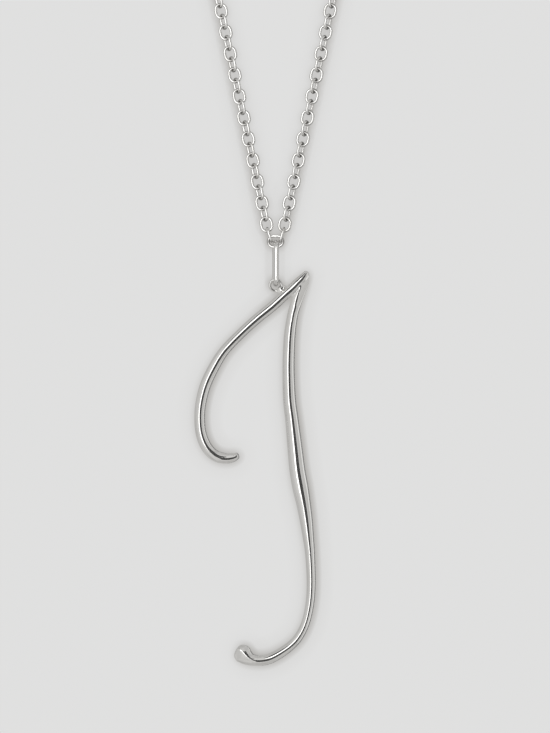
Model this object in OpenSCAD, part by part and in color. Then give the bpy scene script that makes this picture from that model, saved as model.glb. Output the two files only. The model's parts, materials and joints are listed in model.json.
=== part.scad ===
// Initial pendant: a tall script J of polished silver on an oval cable chain.
// Units are millimetres. The necklace hangs in the XZ plane, +Z up, and is
// seen from the front along +Y. The origin is the top of the chain's loop,
// where the nape, or a hook, carries it.

/* [Chain] */
// Length of the whole closed loop, measured along the chain and the clasp
chain_length = 458; // [400:1:520]
// Outer length of one chain link
link_length = 3.2; // [3:0.05:3.6]
// Outer width of one chain link
link_width = 2.6; // [2.4:0.05:2.8]
// Wire diameter of a chain link
link_wire = 0.45; // [0.35:0.01:0.5]
// Play between the wires of two hooked links
link_play = 0.12; // [0.1:0.01:0.2]
// Turn of every second link about the strand
link_turn = 64; // [60:1:90]
// Lean of each strand from the vertical
strand_lean = 12; // [8:0.5:18]
// Lean of the two links that hook the carrier link
hook_lean = 18; // [14:1:24]

/* [Clasp] */
// Outer diameter of the clasp's ring
clasp_ring = 6; // [5:0.1:8]
// Wire diameter of the clasp's ring
clasp_wire = 1.1; // [0.8:0.05:1.3]
// Outer diameter of the clasp's small eye
clasp_eye = 2.8; // [2.6:0.1:3.4]
// Wire diameter of the clasp's small eye
clasp_eye_wire = 0.7; // [0.5:0.05:0.8]
// Diameter of the thumb knob on the clasp's ring
knob_width = 0.9; // [0.7:0.1:1.2]
// Height of the thumb knob above the ring's wire
knob_height = 0.8; // [0.5:0.1:1.5]

/* [Bail] */
// Outer length of the oval bail
bail_length = 9.3; // [8:0.1:12]
// Outer width of the oval bail, front to back
bail_width = 4.5; // [4.2:0.1:6]
// Wire diameter of the bail
bail_wire = 1; // [0.8:0.05:1.1]
// Turn of the bail about the vertical, away from edge-on
bail_turn = 5; // [0:1:8]

/* [Letter] */
// Overall width of the letter
letter_width = 24.3; // [20:0.1:30]
// Overall height of the letter
letter_height = 79; // [60:0.5:95]
// Face width of the hooked arm at its thickest
arm_width = 2.3; // [1.6:0.05:3]
// Depth of the hooked arm, front to back
arm_depth = 1.95; // [1.6:0.05:2.4]
// Face width of the long stem where it swells
stem_width = 3.2; // [2.4:0.05:4]
// Depth of the long stem, front to back
stem_depth = 2.4; // [1.6:0.05:2.4]

/* [Eye] */
// Outer diameter of the eye soldered to the arm
eye_ring = 2.9; // [2.7:0.05:3.6]
// Wire diameter of the eye
eye_wire = 0.6; // [0.4:0.05:0.7]
// Play between the bail and the eye it carries
eye_play = 0.1; // [0.1:0.01:0.15]
// Stand-off of the eye from the arm's edge, bridged by solder
solder_gap = 0.12; // [0:0.01:0.3]
// Diameter of the solder neck between eye and arm
solder_neck = 1.1; // [0.8:0.05:1.4]

/* [Hidden] */
$fn = 48;

// Chain: wire centres, pitch and how far a link's end lies from its centre
link_reach = (link_length - link_wire) / 2;
pitch = link_length - 2 * link_wire - link_play;

// Carrier link: it lies across the foot of the V and holds the bail's wire
// between the ends of two chain links, with play between each pair
carrier_length = bail_wire + 4 * link_wire + 5 * link_play;
carrier_drop = (link_width - link_wire) / 2;

// Hook links, from the carrier's opening up to the first link of a strand
hook_x = (bail_wire + link_wire) / 2 + link_play;
hook_top = [hook_x, 0] + 2 * link_reach * [sin(hook_lean), cos(hook_lean)];
hook_bend = (hook_lean + strand_lean) / 2;
strand_end = hook_top - (link_wire + link_play) * [sin(hook_bend), cos(hook_bend)];
first_link = strand_end + link_reach * [sin(strand_lean), cos(strand_lean)];

// Clasp: distances between wire centres, and its middle between two hooks
clasp_radius = (clasp_ring - clasp_wire) / 2;
clasp_eye_radius = (clasp_eye - clasp_eye_wire) / 2;
clasp_span = 2 * clasp_radius + 2 * clasp_eye_radius;
ring_hook = (link_wire + clasp_wire) / 2 + link_play;
eye_hook = (link_wire + clasp_eye_wire) / 2 + link_play;
last_x = clasp_span / 2 - (ring_hook + eye_hook) / 2 + link_reach;
clasp_shift = (ring_hook - eye_hook) / 2;

// Loop: straight strands from a point below, closed over the top by an arc
first_s = first_link[0] / sin(strand_lean);
strand_room = chain_length / 2 - last_x - 1.5 * pitch;
strand_links = 2 * round((strand_room / pitch + 1) / 2);
half_turn = 90 + strand_lean;
half_loop = first_s + (strand_links - 1) * pitch + last_x;
loop_drop = half_loop / (cos(strand_lean) + sin(strand_lean) * half_turn * PI / 180);
loop_radius = loop_drop * sin(strand_lean);
strand_straight = loop_drop * cos(strand_lean);
foot_z = -loop_radius - loop_drop;
carrier_z = foot_z + first_s * cos(strand_lean) - first_link[1];

// Bail: it hangs in the carrier link, its upper wire above the lower one
bail_reach = (bail_length - bail_wire) / 2;
bail_top_z = carrier_z - carrier_drop + (link_wire + bail_wire) / 2 + link_play;
bail_z = bail_top_z - bail_reach;
bail_foot_z = bail_z - bail_reach;

// Eye: its upper wire hangs on the bail's lower wire
eye_radius = (eye_ring - eye_wire) / 2;
eye_z = bail_foot_z + (bail_wire + eye_wire) / 2 + eye_play - eye_radius;

// Columns of the stroke tables: across and up are shares of the letter's
// width and height, wide and deep are shares of the stroke's own sizes
ACROSS = 0;
UP = 1;
WIDE = 2;
DEEP = 3;

// Arm, from the tip at the top right down and round to the hook's end
arm_rows = [
  [0.918, 0.994, 0.48, 0.50],
  [0.895, 0.983, 0.74, 0.72],
  [0.850, 0.969, 0.86, 0.86],
  [0.800, 0.954, 0.90, 0.92],
  [0.737, 0.937, 0.91, 0.94],
  [0.638, 0.909, 0.89, 0.94],
  [0.507, 0.876, 0.87, 0.94],
  [0.374, 0.838, 0.86, 0.94],
  [0.251, 0.798, 0.89, 0.95],
  [0.172, 0.760, 0.95, 0.97],
  [0.100, 0.714, 0.97, 1.00],
  [0.062, 0.672, 0.95, 1.00],
  [0.048, 0.634, 0.93, 1.00],
  [0.055, 0.596, 0.94, 1.00],
  [0.082, 0.567, 0.97, 1.00],
  [0.125, 0.545, 0.98, 0.98],
  [0.186, 0.530, 0.97, 0.94],
  [0.260, 0.525, 0.93, 0.88],
  [0.316, 0.527, 0.80, 0.76],
  [0.350, 0.531, 0.62, 0.60]
];

// Stem, from the tip down through the swell and round to the flared foot
stem_rows = [
  [0.922, 0.991, 0.34, 0.50],
  [0.906, 0.975, 0.56, 0.78],
  [0.880, 0.953, 0.62, 0.88],
  [0.843, 0.927, 0.71, 0.92],
  [0.812, 0.895, 0.68, 0.92],
  [0.796, 0.869, 0.70, 0.92],
  [0.782, 0.835, 0.73, 0.92],
  [0.774, 0.786, 0.75, 0.94],
  [0.773, 0.735, 0.77, 0.96],
  [0.781, 0.672, 0.81, 0.98],
  [0.801, 0.621, 0.84, 1.00],
  [0.823, 0.558, 0.93, 1.00],
  [0.845, 0.495, 0.99, 1.00],
  [0.871, 0.449, 1.00, 1.00],
  [0.895, 0.411, 0.90, 0.97],
  [0.917, 0.368, 0.81, 0.93],
  [0.933, 0.328, 0.71, 0.90],
  [0.946, 0.292, 0.63, 0.87],
  [0.955, 0.244, 0.58, 0.84],
  [0.957, 0.201, 0.56, 0.82],
  [0.948, 0.161, 0.55, 0.82],
  [0.925, 0.123, 0.54, 0.82],
  [0.894, 0.095, 0.54, 0.83],
  [0.850, 0.071, 0.56, 0.84],
  [0.797, 0.053, 0.58, 0.86],
  [0.720, 0.035, 0.62, 0.88],
  [0.626, 0.019, 0.65, 0.90],
  [0.556, 0.014, 0.67, 0.92],
  [0.506, 0.014, 0.68, 0.92],
  [0.466, 0.016, 0.78, 0.92],
  [0.429, 0.022, 1.00, 0.90],
  [0.398, 0.030, 1.18, 0.86],
  [0.374, 0.035, 1.06, 0.78],
  [0.363, 0.037, 0.95, 0.70]
];

// Steps between two table rows, sides of a section, rings of a rounded end
row_steps = 3;
section_sides = 16;
end_rings = 3;
// Length of the rounded tip and hook, and of the blunter foot, as shares of
// the end section's half width
end_reach = 0.7;
foot_reach = 0.36;
// Row of the arm's table beside the eye, counted with its fraction
eye_row = 3.95;

// One point between rows b and c of a table, on a smooth curve through them
function between(a, b, c, d, t) =
  0.5 * (2 * b + t * (c - a + t * (2 * a - 5 * b + 4 * c - d + t * (3 * b - 3 * c + d - a))));

// The table's row at a counted position, with smooth values in between
function row_at(rows, p) =
  let (n = len(rows) - 1, i = min(floor(p), n - 1))
  between(rows[max(i - 1, 0)], rows[i], rows[i + 1], rows[min(i + 2, n)], p - i);

// A row turned into [x, z, half width, half depth] in millimetres
function section(row, wide, deep) = [
  (row[ACROSS] - 0.5) * letter_width,
  (row[UP] - 1) * letter_height,
  row[WIDE] * wide / 2,
  row[DEEP] * deep / 2
];

function unit(v) = v / norm(v);

// Direction of the stroke at section i
function heading(s, i) =
  let (a = s[max(i - 1, 0)], b = s[min(i + 1, len(s) - 1)])
  unit([b[0] - a[0], b[1] - a[1]]);

// Ring of points round a section, shrunk and moved along for a rounded end
function ring(s, h, shrink, ahead) = [
  for (k = [0 : section_sides - 1])
    let (a = 360 * k / section_sides, u = s[2] * shrink * cos(a), v = s[3] * shrink * sin(a))
    [s[0] + h[0] * ahead - h[1] * u, v, s[1] + h[1] * ahead + h[0] * u]
];

// Rings of one stroke, rounded off at both ends
function stroke_rings(s, reach) =
  let (n = len(s) - 1, h0 = heading(s, 0), h1 = heading(s, n))
  concat(
    [for (j = [end_rings : -1 : 1]) let (a = 75 * j / end_rings)
      ring(s[0], h0, cos(a), -end_reach * s[0][2] * sin(a))],
    [for (i = [0 : n]) ring(s[i], heading(s, i), 1, 0)],
    [for (j = [1 : end_rings]) let (a = 75 * j / end_rings)
      ring(s[n], h1, cos(a), reach * s[n][2] * sin(a))]
  );

arm_sections = [
  for (p = [0 : 1 / row_steps : len(arm_rows) - 1]) section(row_at(arm_rows, p), arm_width, arm_depth)
];
stem_sections = [
  for (p = [0 : 1 / row_steps : len(stem_rows) - 1]) section(row_at(stem_rows, p), stem_width, stem_depth)
];

// Seat of the eye on the arm: a point of the arm's line, square to the edge
eye_section = section(row_at(arm_rows, eye_row), arm_width, arm_depth);
eye_before = section(row_at(arm_rows, eye_row - 0.1), arm_width, arm_depth);
eye_after = section(row_at(arm_rows, eye_row + 0.1), arm_width, arm_depth);
eye_along = unit([eye_after[0] - eye_before[0], eye_after[1] - eye_before[1]]);
eye_out = [eye_along[1], -eye_along[0]];
eye_stand = eye_section[2] + solder_gap + eye_ring / 2;
eye_seat = [eye_section[0], eye_section[1]];
eye_centre = eye_seat + eye_stand * eye_out;

// Oval of round wire in the XZ plane, its length along Z
module wire_oval(long, wide, wire) {
  bend = (wide - wire) / 2;
  half_side = (long - wide) / 2;
  rotate([90, 0, 0]) {
    for (m = [0, 1]) mirror([0, m, 0]) translate([0, half_side, 0])
      rotate_extrude(angle = 180) translate([bend, 0]) circle(d = wire);
    for (m = [-1, 1]) translate([m * bend, -half_side, 0])
      rotate([-90, 0, 0]) cylinder(d = wire, h = 2 * half_side);
  }
}

// Ring of round wire in the XZ plane
module wire_ring(outer, wire) {
  rotate([90, 0, 0]) rotate_extrude() translate([(outer - wire) / 2, 0]) circle(d = wire);
}

module chain_link(x, z, lean, turn) {
  translate([x, 0, z]) rotate([0, lean, 0]) rotate([0, 0, turn])
    wire_oval(link_length, link_width, link_wire);
}

// One strand: its hook link, then links up the straight and over the arc
module strand() {
  hook_z = carrier_z + link_reach * cos(hook_lean);
  chain_link(hook_x + link_reach * sin(hook_lean), hook_z, hook_lean, 90);
  for (i = [0 : strand_links - 1]) {
    s = first_s + i * pitch;
    on_arc = max(s - strand_straight, 0) / loop_radius * 180 / PI;
    up = min(s, strand_straight);
    a = on_arc - strand_lean;
    x = on_arc > 0 ? loop_radius * cos(a) : up * sin(strand_lean);
    z = on_arc > 0 ? loop_radius * (sin(a) - 1) : foot_z + up * cos(strand_lean);
    chain_link(x, z, strand_lean - on_arc, i % 2 == 0 ? 0 : link_turn);
  }
}

module chain_right() {
  color("silver") strand();
}

// The left strand also holds the carrier link that lies across the V's foot
module chain_left() {
  color("silver") {
    mirror([1, 0, 0]) strand();
    translate([0, 0, carrier_z]) rotate([0, 90, 0])
      wire_oval(carrier_length, link_width, link_wire);
  }
}

// Plain round clasp with its small eye on the left and a thumb knob on top
module clasp() {
  ring_x = clasp_shift + clasp_eye_radius;
  eye_x = clasp_shift - clasp_radius;
  color("silver") {
    translate([ring_x, 0, 0]) wire_ring(clasp_ring, clasp_wire);
    translate([eye_x, 0, 0]) wire_ring(clasp_eye, clasp_eye_wire);
    translate([ring_x, 0, 0]) rotate([0, 40, 0]) translate([0, 0, clasp_radius])
      cylinder(d = knob_width, h = clasp_wire / 2 + knob_height);
  }
}

module bail() {
  color("silver") translate([0, 0, bail_z]) rotate([0, 0, 90 + bail_turn])
    wire_oval(bail_length, bail_width, bail_wire);
}

// Closed skin over a stroke's rings
module stroke(s, reach) {
  rings = stroke_rings(s, reach);
  n = len(rings);
  m = section_sides;
  side = [for (i = [0 : n - 2], k = [0 : m - 1])
    [i * m + k, i * m + (k + 1) % m, (i + 1) * m + (k + 1) % m, (i + 1) * m + k]];
  start = [for (k = [m - 1 : -1 : 0]) k];
  finish = [for (k = [0 : m - 1]) (n - 1) * m + k];
  polyhedron(points = [for (r = rings, p = r) p], faces = concat(side, [start, finish]), convexity = 6);
}

// The letter is cast in one piece, and its eye and solder neck are one with it
module initial() {
  color("silver") translate([-eye_centre[0], 0, eye_z - eye_centre[1]]) {
    resize([letter_width, 0, letter_height]) {
      stroke(arm_sections, end_reach);
      stroke(stem_sections, foot_reach);
    }
    translate([eye_centre[0], 0, eye_centre[1]]) wire_ring(eye_ring, eye_wire);
    translate([eye_seat[0], 0, eye_seat[1]]) rotate([0, atan2(eye_out[0], eye_out[1]), 0])
      cylinder(d = solder_neck, h = eye_section[2] + solder_gap + eye_wire / 2);
  }
}

chain_left();
chain_right();
clasp();
bail();
initial();
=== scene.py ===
import json
import math

import bpy
import numpy as np
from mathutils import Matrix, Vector


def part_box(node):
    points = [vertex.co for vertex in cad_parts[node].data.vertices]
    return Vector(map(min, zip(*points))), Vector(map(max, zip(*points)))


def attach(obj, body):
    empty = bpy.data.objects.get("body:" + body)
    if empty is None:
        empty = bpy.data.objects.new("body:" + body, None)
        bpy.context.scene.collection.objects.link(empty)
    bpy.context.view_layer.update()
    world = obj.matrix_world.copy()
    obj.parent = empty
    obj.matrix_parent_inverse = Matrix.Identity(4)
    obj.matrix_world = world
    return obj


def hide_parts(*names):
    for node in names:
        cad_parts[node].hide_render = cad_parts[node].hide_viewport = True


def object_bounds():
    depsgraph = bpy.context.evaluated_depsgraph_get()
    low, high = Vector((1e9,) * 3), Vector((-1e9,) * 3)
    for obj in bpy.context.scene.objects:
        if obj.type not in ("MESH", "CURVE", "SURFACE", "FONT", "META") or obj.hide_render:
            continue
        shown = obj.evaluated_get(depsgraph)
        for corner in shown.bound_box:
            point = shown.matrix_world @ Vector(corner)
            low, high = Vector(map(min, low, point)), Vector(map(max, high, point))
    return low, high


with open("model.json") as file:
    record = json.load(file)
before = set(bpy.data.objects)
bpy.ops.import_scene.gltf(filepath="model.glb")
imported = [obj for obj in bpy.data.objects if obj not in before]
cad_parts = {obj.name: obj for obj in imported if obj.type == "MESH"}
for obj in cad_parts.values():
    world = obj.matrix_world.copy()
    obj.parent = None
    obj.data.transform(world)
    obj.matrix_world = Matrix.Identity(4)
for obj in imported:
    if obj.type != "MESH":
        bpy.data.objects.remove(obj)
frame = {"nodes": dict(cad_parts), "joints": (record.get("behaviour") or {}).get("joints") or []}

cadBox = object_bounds()
mm = 0.001
eyeDrop = 0.25      # mm, the centre of the letter's eye lies this far under its hinge
scene = bpy.context.scene
scene.view_settings.view_transform = "Standard"
print("frame loaded:", sorted(frame["nodes"]))


# small helpers

def jointPlace(name):
    return Vector(next(j["pos_m"] for j in frame["joints"] if j["name"] == name))


def makeMesh(name, verts, faces, smooth=True):
    mesh = bpy.data.meshes.new(name)
    mesh.from_pydata([tuple(v) for v in verts], [], [tuple(f) for f in faces])
    mesh.update()
    if smooth:
        mesh.shade_smooth()
    obj = bpy.data.objects.new(name, mesh)
    scene.collection.objects.link(obj)
    return obj


# camera: straight on, at the photo's framing

camera = {
    "photoSize": (550, 733),     # pixels
    "pixel": 0.2 * mm,           # size of one pixel at the letter
    "eyePixel": (275.6, 285.3),  # the letter's eye in the photo
    "lens": 200,
    "sensor": 36,
    "clip": (0.01, 30),          # m
}


def makeCamera():
    wide, tall = camera["photoSize"]
    eyeX, eyeY = camera["eyePixel"]
    hinge = jointPlace("letter_swing")
    x = hinge.x + (wide / 2 - eyeX) * camera["pixel"]
    z = hinge.z - eyeDrop * mm - (tall / 2 - eyeY) * camera["pixel"]
    away = tall * camera["pixel"] * camera["lens"] / camera["sensor"]
    data = bpy.data.cameras.new("photoCamera")
    data.lens = camera["lens"]
    data.sensor_width = camera["sensor"]
    data.clip_start, data.clip_end = camera["clip"]
    obj = bpy.data.objects.new("photoCamera", data)
    obj.location = (x, -away, z)
    obj.rotation_euler = (math.radians(90), 0, 0)
    scene.collection.objects.link(obj)
    scene.camera = obj
    return Vector((x, 0, z))


lookAt = makeCamera()
print("camera set, looking at", [round(c / mm, 1) for c in lookAt])


# shader groups shared by the silvers

finish = {
    "filmScale": 260.0, "filmFade": (0.45, 0.75),    # tarnish patches, and the noise they fade over
    "grainDetail": 5.0,
    # polishing marks run three ways, turned about x, y and z
    "markTurns": [(0.35, 0.595, 0.21), (1.9, 3.23, 1.14), (2.7, 4.59, 1.62)],
    "markDetail": 2.0,
    "crossingShade": (0.22, 0.21, 0.2, 1),                  # painted shade where one link crosses the next
}


def newGroup(name, inputs, outputs):
    group = bpy.data.node_groups.new(name, "ShaderNodeTree")
    for label, kind, value in inputs:
        socket = group.interface.new_socket(label, in_out="INPUT", socket_type=kind)
        socket.default_value = value
    for label, kind in outputs:
        group.interface.new_socket(label, in_out="OUTPUT", socket_type=kind)
    start = group.nodes.new("NodeGroupInput")
    end = group.nodes.new("NodeGroupOutput")
    return group, start.outputs, end.inputs


def link(tree, source, target):
    tree.links.new(source, target)


def addNoise(tree, vector, scale, detail=3.0, roughness=0.55):
    noise = tree.nodes.new("ShaderNodeTexNoise")
    noise.inputs["Detail"].default_value = detail
    noise.inputs["Roughness"].default_value = roughness
    link(tree, vector, noise.inputs["Vector"])
    if isinstance(scale, (int, float)):
        noise.inputs["Scale"].default_value = scale
    else:
        link(tree, scale, noise.inputs["Scale"])
    return noise.outputs["Fac"]


def addMath(tree, kind, a, b=None, c=None):
    node = tree.nodes.new("ShaderNodeMath")
    node.operation = kind
    for socket, value in zip(node.inputs, (a, b, c)):
        if value is None:
            continue
        if isinstance(value, (int, float)):
            socket.default_value = value
        else:
            link(tree, value, socket)
    return node.outputs[0]


def addRange(tree, value, low, high, newLow, newHigh):
    node = tree.nodes.new("ShaderNodeMapRange")
    for socket, v in zip(node.inputs, (value, low, high, newLow, newHigh)):
        if isinstance(v, (int, float)):
            socket.default_value = v
        else:
            link(tree, v, socket)
    return node.outputs[0]


def addMix(tree, factor, a, b):
    node = tree.nodes.new("ShaderNodeMix")
    node.data_type = "RGBA"
    for socket, v in ((node.inputs[0], factor), (node.inputs[6], a), (node.inputs[7], b)):
        if isinstance(v, (int, float, tuple)):
            socket.default_value = v
        else:
            link(tree, v, socket)
    return node.outputs[2]


def silverSurface():
    group, given, made = newGroup("silverSurface", [
        ("Silver", "NodeSocketColor", (0.93, 0.92, 0.9, 1)),
        ("Tarnish", "NodeSocketColor", (0.62, 0.58, 0.52, 1)),
        ("Tarnish Amount", "NodeSocketFloat", 0.15),
        ("Polish", "NodeSocketFloat", 0.08),
        ("Polish Change", "NodeSocketFloat", 0.04),
        ("Grain", "NodeSocketFloat", 1200.0),
    ], [("Color", "NodeSocketColor"), ("Roughness", "NodeSocketFloat")])
    place = group.nodes.new("ShaderNodeTexCoord").outputs["Object"]
    soft = addNoise(group, place, finish["filmScale"])
    fine = addNoise(group, place, given["Grain"], finish["grainDetail"])
    film = addRange(group, soft, *finish["filmFade"], 0.0, given["Tarnish Amount"])
    link(group, addMix(group, film, given["Silver"], given["Tarnish"]), made["Color"])
    haze = addMath(group, "MULTIPLY", fine, given["Polish Change"])
    link(group, addMath(group, "ADD", haze, given["Polish"]), made["Roughness"])
    return group


def polishMarks():
    group, given, made = newGroup("polishMarks", [
        ("Scale", "NodeSocketFloat", 900.0),
        ("Stretch", "NodeSocketFloat", 12.0),
    ], [("Height", "NodeSocketFloat")])
    place = group.nodes.new("ShaderNodeTexCoord").outputs["Object"]
    heights = []
    for turn in finish["markTurns"]:
        mapping = group.nodes.new("ShaderNodeMapping")
        mapping.inputs["Rotation"].default_value = turn
        link(group, place, mapping.inputs["Vector"])
        stretch = group.nodes.new("ShaderNodeCombineXYZ")
        link(group, given["Stretch"], stretch.inputs[0])
        stretch.inputs[1].default_value = 1.0
        stretch.inputs[2].default_value = 1.0
        scaled = group.nodes.new("ShaderNodeVectorMath")
        scaled.operation = "MULTIPLY"
        link(group, mapping.outputs[0], scaled.inputs[0])
        link(group, stretch.outputs[0], scaled.inputs[1])
        heights.append(addNoise(group, scaled.outputs[0], given["Scale"], finish["markDetail"]))
    both = addMath(group, "ADD", heights[0], heights[1])
    link(group, addMath(group, "ADD", both, heights[2]), made["Height"])
    return group


silverGroup = silverSurface()
marksGroup = polishMarks()


def makeSilver(name, look):
    material = bpy.data.materials.new(name)
    material.use_nodes = True
    tree = material.node_tree
    shader = tree.nodes["Principled BSDF"]
    shader.inputs["Metallic"].default_value = 1.0
    surface = tree.nodes.new("ShaderNodeGroup")
    surface.node_tree = silverGroup
    for label, value in look["surface"].items():
        surface.inputs[label].default_value = value
    marks = tree.nodes.new("ShaderNodeGroup")
    marks.node_tree = marksGroup
    for label, value in look["marks"].items():
        marks.inputs[label].default_value = value
    bump = tree.nodes.new("ShaderNodeBump")
    bump.inputs["Strength"].default_value = look["bump"]
    bump.inputs["Distance"].default_value = look["bumpDepth"]
    colour = surface.outputs["Color"]
    if "crown" in look:
        # painted shade: the wire is darker at the ends of each oval, where one link crosses the next
        mark = tree.nodes.new("ShaderNodeAttribute")
        mark.attribute_name = "crown"
        dark = addMath(tree, "MULTIPLY", mark.outputs["Fac"], look["crown"])
        colour = addMix(tree, dark, colour, finish["crossingShade"])
    link(tree, colour, shader.inputs["Base Color"])
    link(tree, surface.outputs["Roughness"], shader.inputs["Roughness"])
    link(tree, marks.outputs["Height"], bump.inputs["Height"])
    link(tree, bump.outputs["Normal"], shader.inputs["Normal"])
    return material


# letter: two swept strokes, an eye and its solder, grown into one cast skin

letter = {
    "armWide": 2.3, "armDeep": 1.95,     # mm
    "stemWide": 3.2, "stemDeep": 2.4,
    "tipReach": 0.7, "footReach": 0.36,  # rounded ends, in half widths
    # rows that an end's form spreads over, how far its crest moves aside, how ridged it gets
    "stemTip": (3.6, 0.8, 0.9), "stemFoot": (5, 0.3, 0.8),
    "tipEase": 0.7, "footEase": 0.8,     # how soon that form fades
    "stepsPerRow": 14, "sides": 44, "endRings": 7,
    "endAngle": 82,                      # degrees round each end
    "eyeRing": 2.9, "eyeWire": 0.6, "eyeSteps": 72, "eyeSides": 24,
    # x and z from the eye, and radius
    "solder": [(0.95, -0.75, 0.62), (1.3, -0.45, 0.5), (0.55, -1.2, 0.45), (1.75, -0.5, 0.5),
               (1.35, -0.15, 0.38)],
    "skin": 0.115,                       # voxel of the cast skin
    "softTurns": 3, "filletTurns": 26,
    # x and z from the eye: here the skin is softened, in full to 0.6 mm and not past 2.1 mm
    "fillets": [(1.0, -1.0), (2.9, -2.7)], "filletReach": 1.5, "filletFade": 1.4,
    "look": {
        "surface": {"Silver": (0.95, 0.945, 0.93, 1), "Tarnish Amount": 0.1, "Polish": 0.05,
                    "Polish Change": 0.02, "Grain": 1500.0},
        "marks": {"Scale": 130.0, "Stretch": 3.0},
        "bump": 0.12, "bumpDepth": 0.03 * mm,
    },
}

# share across, share up, share of the width, share of the depth
armRows = [
    (0.918, 0.994, 0.48, 0.50), (0.895, 0.983, 0.74, 0.72), (0.850, 0.969, 0.86, 0.86),
    (0.800, 0.954, 0.90, 0.92), (0.737, 0.937, 0.91, 0.94), (0.638, 0.909, 0.89, 0.94),
    (0.507, 0.876, 0.87, 0.94), (0.374, 0.838, 0.86, 0.94), (0.251, 0.798, 0.89, 0.95),
    (0.172, 0.760, 0.95, 0.97), (0.100, 0.714, 0.97, 1.00), (0.062, 0.672, 0.95, 1.00),
    (0.048, 0.634, 0.93, 1.00), (0.055, 0.596, 0.94, 1.00), (0.082, 0.567, 0.97, 1.00),
    (0.125, 0.545, 0.98, 0.98), (0.186, 0.530, 0.97, 0.96), (0.260, 0.525, 0.93, 0.94),
    (0.316, 0.527, 0.80, 0.91), (0.350, 0.531, 0.62, 0.87),
]
stemRows = [
    (0.922, 0.991, 0.34, 0.36), (0.906, 0.975, 0.56, 0.48), (0.880, 0.953, 0.62, 0.56),
    (0.843, 0.927, 0.71, 0.66), (0.812, 0.895, 0.68, 0.78), (0.796, 0.869, 0.70, 0.87),
    (0.782, 0.835, 0.73, 0.92), (0.774, 0.786, 0.75, 0.94), (0.773, 0.735, 0.77, 0.96),
    (0.781, 0.672, 0.81, 0.98), (0.801, 0.621, 0.84, 1.00), (0.823, 0.558, 0.93, 1.00),
    (0.845, 0.495, 0.99, 1.00), (0.871, 0.449, 1.00, 1.00), (0.895, 0.411, 0.90, 0.97),
    (0.917, 0.368, 0.81, 0.93), (0.933, 0.328, 0.71, 0.90), (0.946, 0.292, 0.63, 0.87),
    (0.955, 0.244, 0.58, 0.84), (0.957, 0.201, 0.56, 0.82), (0.948, 0.161, 0.55, 0.82),
    (0.925, 0.123, 0.54, 0.82), (0.894, 0.095, 0.54, 0.83), (0.850, 0.071, 0.56, 0.84),
    (0.797, 0.053, 0.58, 0.86), (0.720, 0.035, 0.62, 0.88), (0.626, 0.019, 0.65, 0.90),
    (0.556, 0.014, 0.67, 0.92), (0.506, 0.014, 0.68, 0.92), (0.466, 0.016, 0.78, 0.92),
    (0.429, 0.022, 1.00, 0.88), (0.398, 0.030, 1.18, 0.82), (0.374, 0.035, 1.06, 0.74),
    (0.363, 0.037, 0.95, 0.68),
]


def smoothRows(rows, steps):
    table = np.array([rows[0], *rows, rows[-1]])
    made = []
    for i in range(1, len(table) - 2):
        a, b, c, d = table[i - 1:i + 3]
        for k in range(steps):
            t = k / steps
            made.append(0.5 * (2 * b + t * (c - a + t * (2 * a - 5 * b + 4 * c - d
                        + t * (3 * b - 3 * c + d - a)))))
    made.append(table[-2])
    return np.array(made)


def strokeRings(rows, wide, deep, tipReach, footReach, size, tip=(1, 0, 0), foot=(1, 0, 0)):
    rows = smoothRows(rows, letter["stepsPerRow"])
    centre = (rows[:, :2] - [0.5, 1.0]) * size           # x and z in mm
    half = rows[:, 2:] * [wide / 2, deep / 2]
    done = np.arange(len(rows)) / letter["stepsPerRow"]
    start = np.clip(1 - done / tip[0], 0, 1) ** letter["tipEase"]
    final = np.clip(1 - (done[-1] - done) / foot[0], 0, 1) ** letter["footEase"]
    aside = tip[1] * start + foot[1] * final
    ridge = tip[2] * start + foot[2] * final
    heading = np.gradient(centre, axis=0)
    heading /= np.linalg.norm(heading, axis=1)[:, None]
    angles = np.linspace(0, 2 * math.pi, letter["sides"], endpoint=False)
    ends = np.radians(np.linspace(0, letter["endAngle"], letter["endRings"] + 1)[1:])

    def ring(i, shrink, ahead):
        h = heading[i]
        c, s = np.cos(angles), np.sin(angles)
        u = c - aside[i] * s ** 2
        slope = np.where(c > 0, (1 - u) / (1 + aside[i]), (1 + u) / (1 - aside[i]))
        v = (s + ridge[i] * (np.sign(s) * slope - s)) * half[i, 1] * shrink
        u = u * half[i, 0] * shrink
        x = centre[i, 0] + h[0] * ahead - h[1] * u
        z = centre[i, 1] + h[1] * ahead + h[0] * u
        return np.stack([x, v, z], axis=1)

    last = len(rows) - 1
    first = [ring(0, math.cos(a), -tipReach * half[0, 0] * math.sin(a)) for a in ends[::-1]]
    middle = [ring(i, 1, 0) for i in range(last + 1)]
    final = [ring(last, math.cos(a), footReach * half[last, 0] * math.sin(a)) for a in ends]
    return np.array(first + middle + final)


def skinRings(rings, closed=False):
    count, sides = rings.shape[:2]
    faces = []
    for i in range(count if closed else count - 1):
        j = (i + 1) % count
        for k in range(sides):
            m = (k + 1) % sides
            faces.append((i * sides + k, i * sides + m, j * sides + m, j * sides + k))
    if not closed:
        faces.append(tuple(range(sides - 1, -1, -1)))
        faces.append(tuple((count - 1) * sides + k for k in range(sides)))
    return rings.reshape(-1, 3), faces


crownFade = (0.74, 0.98)      # height in an oval's bend where its crown starts, and is full


def makeOval(long, wide, wire, steps, sides):
    # oval of round wire in the XZ plane, its length along Z
    bend, straight = (wide - wire) / 2, (long - wide) / 2
    rings = []
    crown = []      # how near each point lies to the oval's ends
    for i in range(steps):
        a = 2 * math.pi * (i + 0.5) / steps
        out = np.array([math.cos(a), 0, math.sin(a)])
        centre = out * bend + [0, 0, straight if out[2] > 0 else -straight]
        b = 2 * math.pi * np.arange(sides) / sides
        section = np.outer(np.cos(b), out) + np.outer(np.sin(b), [0, 1, 0])
        rings.append(centre + wire / 2 * section)
        crown += [np.interp(abs(out[2]), crownFade, (0, 1))] * sides
    return (*skinRings(np.array(rings), closed=True), crown)


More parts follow.
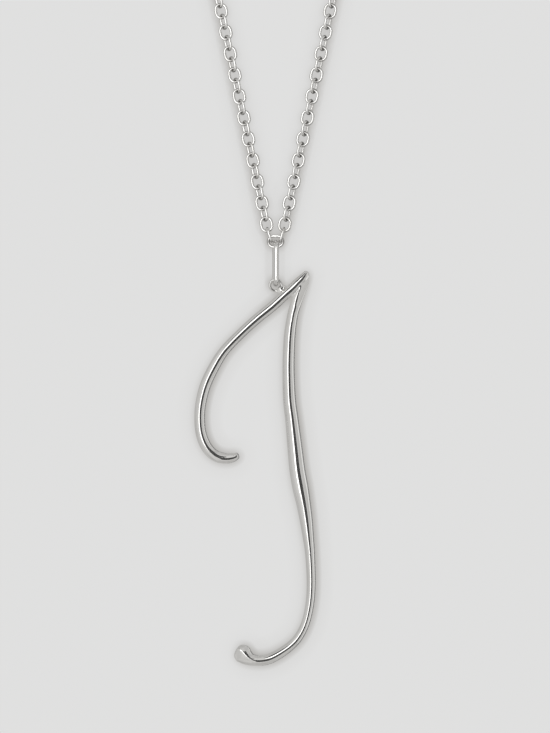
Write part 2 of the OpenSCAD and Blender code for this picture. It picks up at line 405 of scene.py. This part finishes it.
def makeBall(centre, radius, squash=0.8, steps=24):
    rings = []
    for i in range(1, steps):
        a = math.pi * i / steps
        b = 2 * math.pi * np.arange(steps) / steps
        x = radius * math.sin(a) * np.cos(b)
        y = radius * squash * math.sin(a) * np.sin(b)
        z = np.full(steps, radius * math.cos(a))
        rings.append(np.stack([x, y, z], axis=1) + centre)
    return skinRings(np.array(rings))


def joinParts(parts):
    verts, faces, start = [], [], 0
    for v, f in parts:
        verts.append(v)
        faces += [tuple(start + k for k in face) for face in f]
        start += len(v)
    return np.vstack(verts), faces


def applyModifiers(obj):
    graph = bpy.context.evaluated_depsgraph_get()
    mesh = bpy.data.meshes.new_from_object(obj.evaluated_get(graph))
    obj.modifiers.clear()
    obj.data = mesh
    mesh.shade_smooth()


def relax(co, edges, weight, turns):
    # each turn moves a point half way to the middle of its neighbours
    count = np.bincount(edges.ravel(), minlength=len(co))[:, None]
    for _ in range(turns):
        total = np.zeros_like(co)
        np.add.at(total, edges[:, 0], co[edges[:, 1]])
        np.add.at(total, edges[:, 1], co[edges[:, 0]])
        co = co + weight[:, None] * 0.5 * (total / count - co)
    return co


def makeLetter():
    low, high = (np.array(c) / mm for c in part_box("initial"))
    size = np.array([high[0] - low[0], high[2] - low[2]])
    tipReach, footReach = letter["tipReach"], letter["footReach"]
    arm = strokeRings(armRows, letter["armWide"], letter["armDeep"], tipReach, tipReach, size)
    stem = strokeRings(stemRows, letter["stemWide"], letter["stemDeep"], tipReach, footReach, size,
                       letter["stemTip"], letter["stemFoot"])
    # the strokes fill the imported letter's width and height
    both = np.vstack([arm.reshape(-1, 3), stem.reshape(-1, 3)])
    start, reach = both.min(0), np.ptp(both, axis=0)
    for stroke in (arm, stem):
        for axis in (0, 2):
            share = (stroke[..., axis] - start[axis]) / reach[axis]
            stroke[..., axis] = low[axis] + share * (high - low)[axis]
    hinge = np.array(jointPlace("letter_swing")) / mm
    eye = hinge - [0, 0, eyeDrop]
    ring, ringFaces, _ = makeOval(letter["eyeRing"], letter["eyeRing"], letter["eyeWire"],
                                  letter["eyeSteps"], letter["eyeSides"])
    parts = [skinRings(arm), skinRings(stem), (ring + eye, ringFaces)]
    parts += [makeBall(eye + [x, 0, z], radius) for x, z, radius in letter["solder"]]
    obj = makeMesh("letterSilver", *joinParts(parts))
    skin = obj.modifiers.new("castSkin", "REMESH")
    skin.mode = "VOXEL"
    skin.voxel_size = letter["skin"]
    skin.adaptivity = 0
    applyModifiers(obj)
    mesh = obj.data
    co = np.empty(len(mesh.vertices) * 3)
    mesh.vertices.foreach_get("co", co)
    co = co.reshape(-1, 3)
    edges = np.empty(len(mesh.edges) * 2, int)
    mesh.edges.foreach_get("vertices", edges)
    edges = edges.reshape(-1, 2)
    co = relax(co, edges, np.ones(len(co)), letter["softTurns"])
    away = [np.linalg.norm(co - (eye + [x, 0, z]), axis=1) for x, z in letter["fillets"]]
    weight = np.clip(letter["filletFade"] - np.min(away, axis=0) / letter["filletReach"], 0, 1)
    co = relax(co, edges, weight, letter["filletTurns"])
    mesh.vertices.foreach_set("co", (co * mm).ravel())
    mesh.update()
    mesh.materials.append(makeSilver("letterSilver", letter["look"]))
    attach(obj, "initial")
    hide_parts("initial")
    print("letter:", len(mesh.polygons), "faces")


makeLetter()


# chain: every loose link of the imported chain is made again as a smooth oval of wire

chain = {
    "wire": 0.55 * mm,        # as heavy as the photo's rings look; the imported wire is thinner
    "cadWire": 0.45 * mm,
    "steps": 44, "sides": 14,
    "look": {
        "surface": {"Silver": (0.88, 0.875, 0.86, 1), "Tarnish Amount": 0.25, "Polish": 0.2,
                    "Polish Change": 0.02, "Grain": 2500.0},
        "crown": 0.66,        # how dark the painted shade at the ends of each oval is
        "marks": {"Scale": 400.0, "Stretch": 3.0},
        "bump": 0.08, "bumpDepth": 0.02 * mm,
    },
}
chainSilver = makeSilver("chainSilver", chain["look"])
fineWires = bpy.data.collections.new("fineWires")


def looseParts(node):
    mesh = frame["nodes"][node].data
    co = np.empty(len(mesh.vertices) * 3)
    mesh.vertices.foreach_get("co", co)
    co = co.reshape(-1, 3)
    places, same = np.unique(np.round(co / mm, 4), axis=0, return_inverse=True)
    mesh.calc_loop_triangles()
    tris = np.empty(len(mesh.loop_triangles) * 3, int)
    mesh.loop_triangles.foreach_get("vertices", tris)
    tris = same.ravel()[tris.reshape(-1, 3)]
    mark = np.arange(len(places))
    # corners that share a triangle take the lowest mark, until nothing changes
    while True:
        least = mark[tris].min(1)
        new = mark.copy()
        for k in range(3):
            np.minimum.at(new, tris[:, k], least)
        new = new[new]
        if (new == mark).all():
            break
        mark = new
    owner = mark[tris[:, 0]]
    for part in np.unique(owner):
        yield places[tris[owner == part]]


def partFrame(triangles):
    # centre and axes of a thin even ring, weighted by area
    a, b, c = triangles[:, 0], triangles[:, 1], triangles[:, 2]
    area = np.linalg.norm(np.cross(b - a, c - a), axis=1)
    middle = (a + b + c) / 3
    centre = np.average(middle, axis=0, weights=area)
    spread = (middle - centre) * area[:, None]
    axes = np.linalg.eigh(spread.T @ (middle - centre))[1]
    flat = (triangles.reshape(-1, 3) - centre) @ axes
    size = np.ptp(flat, axis=0)
    centre = centre + axes @ (flat.max(0) + flat.min(0)) / 2
    return centre, axes, size          # axes run through, across and along


def fitOval(triangles, piece, grow=0.0):
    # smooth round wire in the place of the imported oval
    centre, axes, size = partFrame(triangles)
    v, f, crown = makeOval(size[2] + grow, size[1] + grow, piece["wire"] / mm,
                           piece["steps"], piece["sides"])
    turn = np.stack([axes[:, 1], axes[:, 0], axes[:, 2]], axis=1)
    if np.linalg.det(turn) < 0:
        turn[:, 1] *= -1
    return v @ turn.T + centre, f, crown


def markCrowns(obj, crowns):
    mark = obj.data.attributes.new("crown", "FLOAT", "POINT")
    mark.data.foreach_set("value", crowns)


def makeLinks(node, name):
    parts, crowns = [], []
    grow = (chain["wire"] - chain["cadWire"]) / mm
    for triangles in looseParts(node):
        v, f, crown = fitOval(triangles, chain, grow)
        parts.append((v, f))
        crowns += crown
    verts, faces = joinParts(parts)
    obj = makeMesh(name, verts * mm, faces)
    markCrowns(obj, crowns)
    obj.data.materials.append(chainSilver)
    fineWires.objects.link(obj)
    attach(obj, "chain")
    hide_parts(node)
    print(name, len(parts), "links,", len(faces), "faces")


makeLinks("chain_left", "leftLinks")
makeLinks("chain_right", "rightLinks")


# bail: one oval of round wire

bail = {
    "wire": 1.0 * mm,
    "steps": 120, "sides": 36,
    "look": {
        "surface": {"Silver": (0.92, 0.915, 0.9, 1), "Tarnish Amount": 0.12, "Polish": 0.05,
                    "Polish Change": 0.02, "Grain": 2000.0},
        "crown": 0.5,         # how dark the painted shade at the ends of the oval is
        "marks": {"Scale": 250.0, "Stretch": 3.0},
        "bump": 0.08, "bumpDepth": 0.02 * mm,
    },
}


def makeBail():
    v, f, crown = fitOval(next(looseParts("bail")), bail)
    obj = makeMesh("bailRing", v * mm, f)
    markCrowns(obj, crown)
    obj.data.materials.append(makeSilver("bailSilver", bail["look"]))
    fineWires.objects.link(obj)
    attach(obj, "bail")
    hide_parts("bail")


makeBail()
print("bail made")


# clasp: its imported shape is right, so it only gets a finish

clasp = {
    "surface": {"Silver": (0.93, 0.925, 0.91, 1), "Tarnish Amount": 0.2, "Polish": 0.07,
                "Polish Change": 0.02, "Grain": 2000.0},
    "marks": {"Scale": 900.0, "Stretch": 8.0},
    "bump": 0.08, "bumpDepth": 0.02 * mm,
}
for place in frame["nodes"]["clasp"].material_slots:
    place.material = makeSilver("claspSilver", clasp)
print("clasp finished")


# studio: pale room and floor, light panels, and grey flags that the silver mirrors

studio = {
    "room": (0.745, 0.745, 0.742),
    # what the silver sees of the room, from its darker to its paler parts
    "mirrored": [(0.42, 0.416, 0.408), (0.68, 0.675, 0.665)],
    "cloudScale": 2.6, "cloudDetail": 2.0, "cloudFade": (0.35, 0.65), "clouds": 0.45,
    # the mirrored room is paler this way, toward the main panel
    "glowWay": (-0.2, -0.98, 0), "glowFade": (0.3, 0.95), "glow": 0.55,
    "floorDrop": 1.6, "floorReach": 14.0,    # m
    "floor": (0.94, 0.94, 0.935), "floorRoughness": 0.9,
    "away": 0.9,                             # m from the letter to a panel
    # turn from the camera's axis, height angle, width and height in degrees, brightness
    "panels": [(-11, 10, 11, 36, 1.5), (88, 0, 20, 90, 0.35)],
    "wirePanel": (-17, 0, 40, 100, 1.3),     # lights only the chain and the bail
    "wireAway": 0.45,
    # the same angles, and grey
    "flags": [
        (16.5, 0, 29, 62, 0.08),             # to the right
        (-26, 38, 24, 24, 0.1),              # high on the left
        (13.5, -14, 35, 40, 0.08),           # low on the right
        (145, 0, 66, 90, 0.3),               # behind, to the right
    ],
    "flagAway": 0.882,
}


def faceCentre(obj, turn, lift, distance, target):
    a, e = math.radians(turn), math.radians(lift)
    out = Vector((math.sin(a) * math.cos(e), -math.cos(a) * math.cos(e), math.sin(e)))
    obj.location = target + out * distance
    obj.rotation_mode = "QUATERNION"
    obj.rotation_quaternion = out.to_track_quat("Z", "Y")


def makeRoom():
    world = bpy.data.worlds.new("paleRoom")
    world.use_nodes = True
    tree = world.node_tree
    ray = tree.nodes.new("ShaderNodeLightPath").outputs["Is Glossy Ray"]
    around = tree.nodes.new("ShaderNodeTexCoord").outputs["Generated"]
    noise = addNoise(tree, around, studio["cloudScale"], studio["cloudDetail"])
    clouds = addRange(tree, noise, *studio["cloudFade"], 0.0, studio["clouds"])
    near = tree.nodes.new("ShaderNodeVectorMath")
    near.operation = "DOT_PRODUCT"
    link(tree, around, near.inputs[0])
    near.inputs[1].default_value = studio["glowWay"]
    glow = addRange(tree, near.outputs["Value"], *studio["glowFade"], 0.0, studio["glow"])
    pale = addMath(tree, "ADD", clouds, glow)
    mirrored = addMix(tree, pale, *[(*grey, 1) for grey in studio["mirrored"]])
    colour = addMix(tree, ray, (*studio["room"], 1), mirrored)
    link(tree, colour, tree.nodes["Background"].inputs["Color"])
    scene.world = world


def makeSheet(name, corners):
    return makeMesh(name, corners, [(0, 1, 2, 3)], smooth=False)


def makeMatt(name, colour, roughness):
    material = bpy.data.materials.new(name)
    material.use_nodes = True
    shader = material.node_tree.nodes["Principled BSDF"]
    shader.inputs["Base Color"].default_value = (*colour, 1)
    shader.inputs["Roughness"].default_value = roughness
    return material


def makeFloor():
    r, z = studio["floorReach"], cadBox[0].z - studio["floorDrop"]
    floor = makeSheet("paleFloor", [(-r, -r, z), (r, -r, z), (r, r, z), (-r, r, z)])
    floor.data.materials.append(makeMatt("paleFloor", studio["floor"], studio["floorRoughness"]))
    floor.visible_glossy = False


def makePanel(name, turn, lift, wide, tall, bright, away):
    light = bpy.data.lights.new(name, "AREA")
    light.shape = "RECTANGLE"
    light.size = 2 * away * math.tan(math.radians(wide / 2))
    light.size_y = 2 * away * math.tan(math.radians(tall / 2))
    light.energy = bright * math.pi * light.size * light.size_y
    obj = bpy.data.objects.new(name, light)
    scene.collection.objects.link(obj)
    faceCentre(obj, turn, lift, away, lookAt)
    obj.visible_camera = False
    return obj


def makeFlag(name, turn, lift, wide, tall, grey):
    away = studio["flagAway"]
    w = away * math.tan(math.radians(wide / 2))
    h = away * math.tan(math.radians(tall / 2))
    flag = makeSheet(name, [(-w, -h, 0), (w, -h, 0), (w, h, 0), (-w, h, 0)])
    faceCentre(flag, turn, lift, away, lookAt)
    flag.data.materials.append(makeMatt(name, (grey, grey, grey), roughness=1.0))
    flag.visible_camera = False
    flag.visible_shadow = False
    flag.visible_diffuse = False


# shade: a clear veil just behind the pendant that only holds its soft close shadows

shade = {
    "gap": 1.45,                 # mm from the letter's middle back to the veil
    "margin": 0.3,               # m of veil round the pendant
    # reach in mm, strength and lean to one side
    "layers": [(1.7, 0.5, 0.75), (4.0, 0.27, 0.15)],
    "tint": (1, 1.04, 1.1),      # strength in red, green and blue
    "samples": 16,
    "middle": 2,                 # mm to each side of the middle where the chain's lean changes sides
    "chainFrom": (10, 16),       # mm above the picture's middle where the chain's lean takes over
}


def makeShade():
    y, margin = shade["gap"] * mm, shade["margin"]
    left, right = cadBox[0].x - margin, cadBox[1].x + margin
    foot, top = cadBox[0].z - margin, cadBox[1].z + margin
    veil = makeSheet("shadeVeil", [(left, y, foot), (right, y, foot), (right, y, top), (left, y, top)])
    material = bpy.data.materials.new("shadeVeil")
    material.use_nodes = True
    tree = material.node_tree
    tree.nodes.remove(tree.nodes["Principled BSDF"])
    # the shade falls outward from the chain and to the right of the letter
    middle = shade["middle"] * mm
    chainFoot, chainFull = (lookAt.z + rise * mm for rise in shade["chainFrom"])
    place = tree.nodes.new("ShaderNodeSeparateXYZ")
    link(tree, tree.nodes.new("ShaderNodeTexCoord").outputs["Object"], place.inputs[0])
    outward = addRange(tree, place.outputs["X"], -middle, middle, 1.0, -1.0)
    isChain = addRange(tree, place.outputs["Z"], chainFoot, chainFull, 0.0, 1.0)
    lean = addMath(tree, "MULTIPLY_ADD", isChain, addMath(tree, "ADD", outward, 1.0), -1.0)
    tints = []
    for reach, depth, aside in shade["layers"]:
        aim = tree.nodes.new("ShaderNodeCombineXYZ")
        link(tree, addMath(tree, "MULTIPLY", lean, aside), aim.inputs["X"])
        aim.inputs["Y"].default_value = -1
        unit = tree.nodes.new("ShaderNodeVectorMath")
        unit.operation = "NORMALIZE"
        link(tree, aim.outputs[0], unit.inputs[0])
        close = tree.nodes.new("ShaderNodeAmbientOcclusion")
        close.samples = shade["samples"]
        close.inputs["Distance"].default_value = reach * mm
        link(tree, unit.outputs[0], close.inputs["Normal"])
        dark = (*(1 - depth * part for part in shade["tint"]), 1)
        tints.append(addMix(tree, close.outputs["AO"], dark, (1, 1, 1, 1)))
    both = tree.nodes.new("ShaderNodeVectorMath")
    both.operation = "MULTIPLY"
    link(tree, tints[0], both.inputs[0])
    link(tree, tints[1], both.inputs[1])
    # seen from behind it stays clear
    behind = tree.nodes.new("ShaderNodeNewGeometry").outputs["Backfacing"]
    clear = tree.nodes.new("ShaderNodeBsdfTransparent")
    link(tree, addMix(tree, behind, both.outputs[0], (1, 1, 1, 1)), clear.inputs["Color"])
    link(tree, clear.outputs[0], tree.nodes["Material Output"].inputs["Surface"])
    veil.data.materials.append(material)
    veil.visible_shadow = False
    veil.visible_diffuse = False
    veil.visible_glossy = False


makeRoom()
makeFloor()
for number, panel in enumerate(studio["panels"]):
    makePanel(f"softPanel{number}", *panel, studio["away"])
wirePanel = makePanel("wirePanel", *studio["wirePanel"], studio["wireAway"])
wirePanel.light_linking.receiver_collection = fineWires
for number, flag in enumerate(studio["flags"]):
    makeFlag(f"greyFlag{number}", *flag)
makeShade()
print("studio lit")
